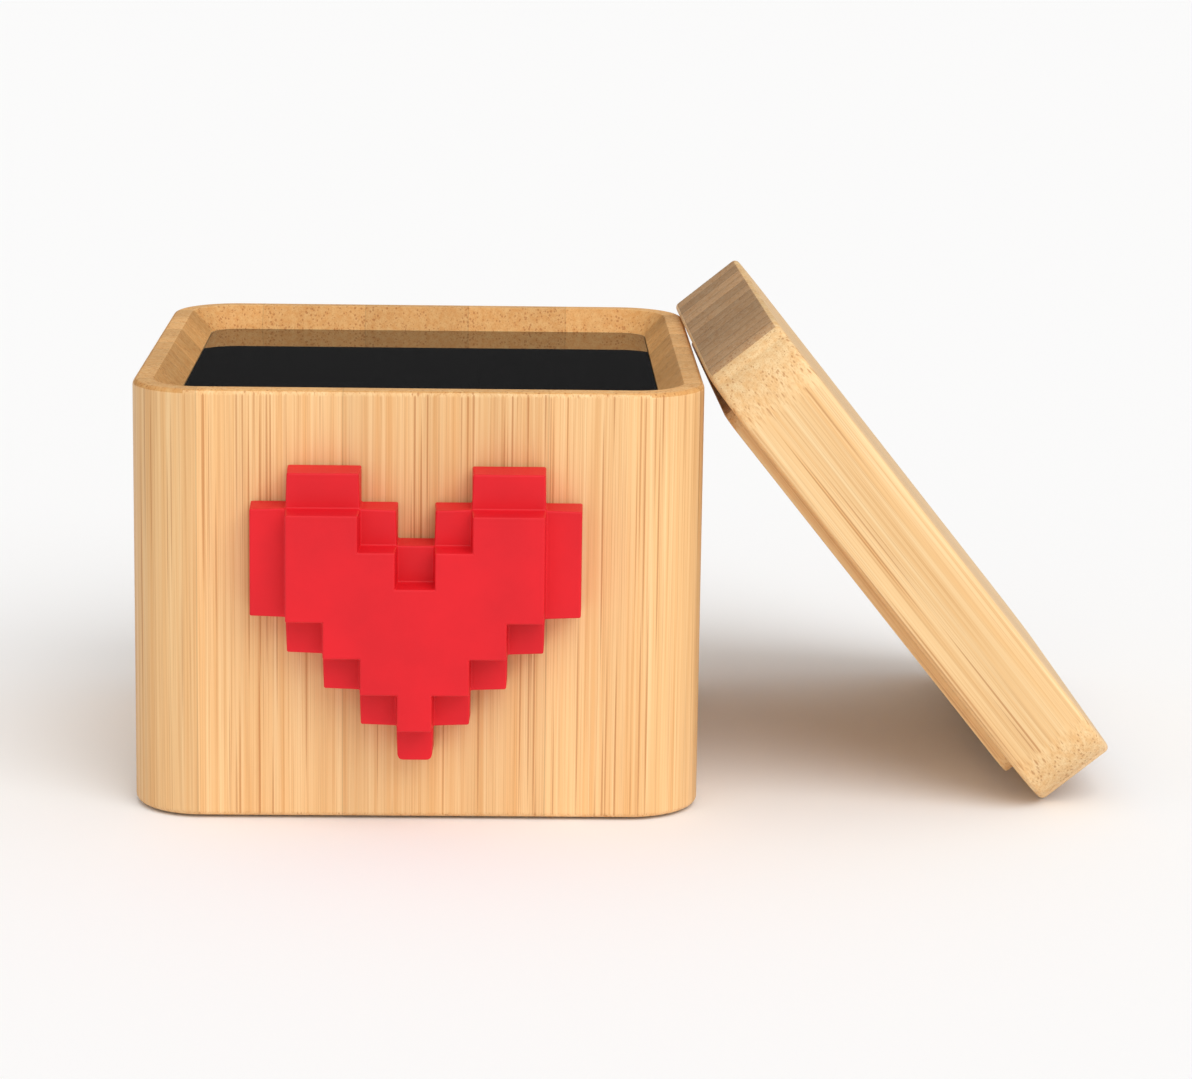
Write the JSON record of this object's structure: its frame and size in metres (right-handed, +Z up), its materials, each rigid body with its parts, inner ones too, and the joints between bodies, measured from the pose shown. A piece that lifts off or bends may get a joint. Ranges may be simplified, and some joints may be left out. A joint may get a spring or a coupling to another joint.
{
  "type": "message box",
  "caption": "Bamboo box with a red stepped heart that spins on its front, a black display glass in its top and a loose lid.",
  "frame": {"origin": "centre of the pad that the case stands on", "axes": "+X to the case's right, where the lid leans, +Y to the back, away from the heart, +Z up"},
  "size_m": [0.1745, 0.1179, 0.0868],
  "materials": {
    "bamboo": "sanded bamboo, clear matt oil",
    "red_plastic": "soft matt red moulding",
    "black_glass": "black half-mirror glass, polished",
    "black_plastic": "matt black moulding",
    "grey_plastic": "matt dark grey moulding",
    "white_plastic": "natural nylon",
    "pad_rubber": "thin foam rubber",
    "steel": "plated steel",
    "brass": "turned brass",
    "board": "green solder mask",
    "board_blue": "blue solder mask",
    "chip": "black epoxy",
    "lcd": "dark display face",
    "copper": "enamelled copper windings",
    "lens": "clear resin",
    "wire_red": "insulated wire",
    "ribbon": "flat film cable"
  },
  "bodies": {
    "case": {"case_body": "bamboo", "bottom_plate": "grey_plastic", "base_pad": "pad_rubber", "bottom_screws": "steel", "inlet_trim": "black_plastic", "glass_panel": "black_glass", "display_frame": "black_plastic", "lcd_module": "lcd", "lcd_frame": "steel", "display_board": "board", "display_screws": "steel", "light_sensor": "lens", "display_ribbon": "ribbon", "main_board": "board", "board_screws": "steel", "radio_board": "board_blue", "radio_shield": "steel", "processor": "chip", "capacitors": "steel", "ribbon_sockets": "white_plastic", "motor_socket": "white_plastic", "power_jack": "black_plastic", "front_bush": "brass", "front_gear_plate": "steel", "rear_gear_plate": "steel", "plate_pillars": "steel", "pillar_screws": "steel", "wall_screws": "steel", "wall_spacers": "steel", "motor_can": "steel", "motor_magnets": "chip", "motor_end_cap": "white_plastic", "motor_screws": "steel", "motor_leads": "wire_red", "idler_shaft": "steel"},
    "turner": {"heart": "red_plastic", "heart_hub": "brass", "spindle": "steel", "spindle_clip": "steel", "output_gear": "white_plastic"},
    "idler": {"idler_gear": "white_plastic"},
    "rotor": {"motor_shaft": "steel", "motor_rotor": "copper", "motor_pinion": "brass"},
    "lid": {"lid": "bamboo"}
  },
  "joints": [
    {"name": "heart_spin", "type": "hinge", "parent": "case", "child": "turner", "pos_m": [0, -0.05, 0.0382], "axis": [0, -1, 0], "continuous": true},
    {"name": "idler_spin", "type": "hinge", "parent": "case", "child": "idler", "pos_m": [0, -0.036, 0.0262], "axis": [0, -1, 0], "continuous": true},
    {"name": "motor_spin", "type": "hinge", "parent": "case", "child": "rotor", "pos_m": [-0.012, -0.03, 0.0262], "axis": [0, -1, 0], "continuous": true},
    {"name": "lid_lift", "type": "slide", "parent": "case", "child": "lid", "axis": [0, 0, 1], "range_m": [0, 0.1]}
  ],
  "couplings": [
    {"joint": "idler_spin", "follows": "heart_spin", "ratio": -3},
    {"joint": "motor_spin", "follows": "heart_spin", "ratio": 9}
  ]
}
